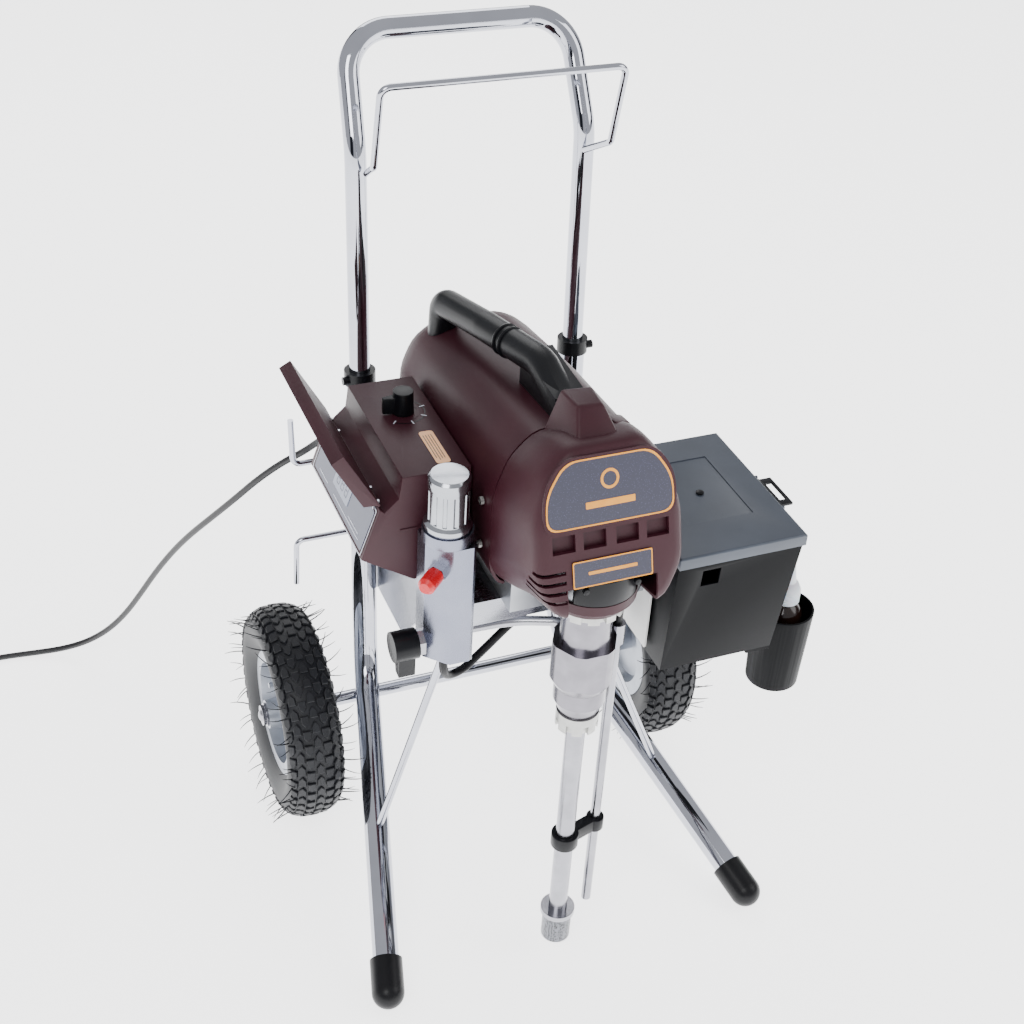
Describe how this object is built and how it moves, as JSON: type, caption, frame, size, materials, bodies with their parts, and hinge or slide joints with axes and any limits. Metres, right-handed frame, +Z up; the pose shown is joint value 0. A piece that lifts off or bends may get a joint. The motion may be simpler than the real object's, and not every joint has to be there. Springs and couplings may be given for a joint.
{
  "type": "electric airless paint sprayer on a cart",
  "caption": "Upright wheeled cart carrying an electric motor-driven piston paint pump with siphon tube, filter manifold, control box, toolbox and telescoping push handle.",
  "frame": {"origin": "on the floor under the middle of the sprayer's outline, cord left out", "axes": "+X to the machine's right (toolbox side), +Y to its rear (push handle), +Z up"},
  "size_m": [0.9266, 0.8172, 0.9041],
  "materials": {
    "chrome_tube": "bright chrome plating",
    "zinc_plate": "bright zinc-plated sheet",
    "bare_steel": "turned and ground steel",
    "galvanised_nut": "galvanised casting",
    "aluminium": "satin machined aluminium",
    "hood_red": "moulded maroon plastic",
    "black_plastic": "moulded black plastic",
    "badge": "printed badge",
    "red_cap": "moulded red vinyl",
    "tyre_rubber": "moulded tread",
    "rim_silver": "silver painted pressing",
    "black_rubber": "black rubber",
    "copper_iron": "laminations and windings",
    "board_green": "printed circuit board",
    "seal_nylon": "nylon and leather seals",
    "cord_jacket": "black flexible cord",
    "bottle": "dark oil in a clear bottle"
  },
  "bodies": {
    "root": {"axle_tube": "chrome_tube", "frame_tube_left": "chrome_tube", "frame_tube_right": "chrome_tube", "foot_caps": "black_rubber", "clamp_collars": "black_plastic", "cord_hooks": "chrome_tube", "braces": "chrome_tube", "drive_bracket": "zinc_plate", "axle_caps": "bare_steel", "rear_hood": "hood_red", "front_cover": "hood_red", "motor_stator": "copper_iron", "drive_housing": "aluminium", "pump_cylinder": "bare_steel", "pump_seals": "seal_nylon", "intake_housing": "bare_steel", "rod_cover": "black_plastic", "pump_nuts": "galvanised_nut", "siphon_tube": "bare_steel", "strainer": "bare_steel", "drain_tube": "bare_steel", "tube_clip": "black_plastic", "drain_hose": "black_rubber", "pressure_tube": "bare_steel", "carry_handle": "black_plastic", "badges": "badge", "manifold_block": "aluminium", "filter_element": "bare_steel", "manifold_fittings": "bare_steel", "control_box": "hood_red", "hinge_pins": "bare_steel", "circuit_board": "board_green", "toolbox_tray": "black_plastic", "toolbox_bracket": "zinc_plate", "cup_holder": "black_plastic", "cord_gland": "black_rubber", "power_cord": "cord_jacket", "cord_coil": "cord_jacket", "mains_plug": "black_rubber", "socket_screws": "bare_steel"},
    "handle": {"push_handle": "chrome_tube", "hose_rack": "chrome_tube"},
    "wheel_left": {"tyre_left": "tyre_rubber", "rim_left": "rim_silver"},
    "wheel_right": {"tyre_right": "tyre_rubber", "rim_right": "rim_silver"},
    "lid_control": {"control_lid": "hood_red"},
    "knob_pressure": {"pressure_knob": "black_plastic"},
    "knob_prime": {"prime_valve_knob": "black_plastic"},
    "cap_filter": {"filter_cap": "aluminium"},
    "cap_outlet": {"outlet_cap": "red_cap"},
    "lid_toolbox": {"toolbox_lid": "black_plastic"},
    "latch": {"toolbox_latch": "black_plastic"},
    "bottle": {"oil_bottle": "bottle"},
    "rotor": {"motor_rotor": "copper_iron"},
    "crank": {"crankshaft": "bare_steel"},
    "piston": {"pump_rod": "bare_steel", "crank_yoke": "bare_steel"},
    "ball": {"intake_ball": "bare_steel"},
    "switch": {"switch_rocker": "black_plastic"}
  },
  "joints": [
    {"name": "handle_slide", "type": "slide", "parent": "root", "child": "handle", "axis": [0, -0.0539, -0.9985], "range_m": [0, 0.19]},
    {"name": "left_wheel_spin", "type": "hinge", "parent": "root", "child": "wheel_left", "pos_m": [-0.23375, 0.1288, 0.127], "axis": [1, 0, 0], "continuous": true},
    {"name": "right_wheel_spin", "type": "hinge", "parent": "root", "child": "wheel_right", "pos_m": [0.21225, 0.1288, 0.127], "axis": [1, 0, 0], "continuous": true},
    {"name": "control_lid_hinge", "type": "hinge", "parent": "root", "child": "lid_control", "pos_m": [-0.20075, -0.0032, 0.561], "axis": [0, -1, 0], "range_deg": [-10, 125]},
    {"name": "pressure_knob_turn", "type": "hinge", "parent": "root", "child": "knob_pressure", "pos_m": [-0.13975, 0.0168, 0.589], "axis": [0, 0, -1], "range_deg": [-60, 210]},
    {"name": "prime_valve_turn", "type": "hinge", "parent": "root", "child": "knob_prime", "pos_m": [-0.17075, -0.1232, 0.414], "axis": [-1, 0, 0], "range_deg": [0, 90]},
    {"name": "filter_cap_lift", "type": "slide", "parent": "root", "child": "cap_filter", "axis": [0, 0, 1], "range_m": [0, 0.05]},
    {"name": "outlet_cap_pull", "type": "slide", "parent": "root", "child": "cap_outlet", "axis": [-0.7071, -0.7071, 0], "range_m": [0, 0.03]},
    {"name": "toolbox_lid_hinge", "type": "hinge", "parent": "root", "child": "lid_toolbox", "pos_m": [0.07205, -0.0892, 0.494], "axis": [0, -1, 0], "range_deg": [0, 88]},
    {"name": "toolbox_latch_turn", "type": "hinge", "parent": "lid_toolbox", "child": "latch", "pos_m": [0.21885, -0.1032, 0.497], "axis": [0, 1, 0], "range_deg": [-30, 80]},
    {"name": "bottle_lift", "type": "slide", "parent": "root", "child": "bottle", "axis": [0, 0, 1], "range_m": [0, 0.085]},
    {"name": "motor_spin", "type": "hinge", "parent": "root", "child": "rotor", "pos_m": [-0.02875, 0.0368, 0.545], "axis": [0, 1, 0], "continuous": true},
    {"name": "crank_turn", "type": "hinge", "parent": "root", "child": "crank", "pos_m": [-0.02875, -0.1232, 0.582], "axis": [0, 1, 0], "continuous": true},
    {"name": "piston_stroke", "type": "slide", "parent": "root", "child": "piston", "axis": [0, 0, 1], "range_m": [-0.007, 0.007]},
    {"name": "intake_ball_lift", "type": "slide", "parent": "root", "child": "ball", "axis": [0, 0, 1], "range_m": [0, 0.004]},
    {"name": "switch_rock", "type": "hinge", "parent": "root", "child": "switch", "pos_m": [-0.13175, 0.0778, 0.5], "axis": [1, 0, 0], "range_deg": [0, 9]}
  ],
  "couplings": [
    {"joint": "motor_spin", "follows": "crank_turn", "ratio": -3}
  ]
}
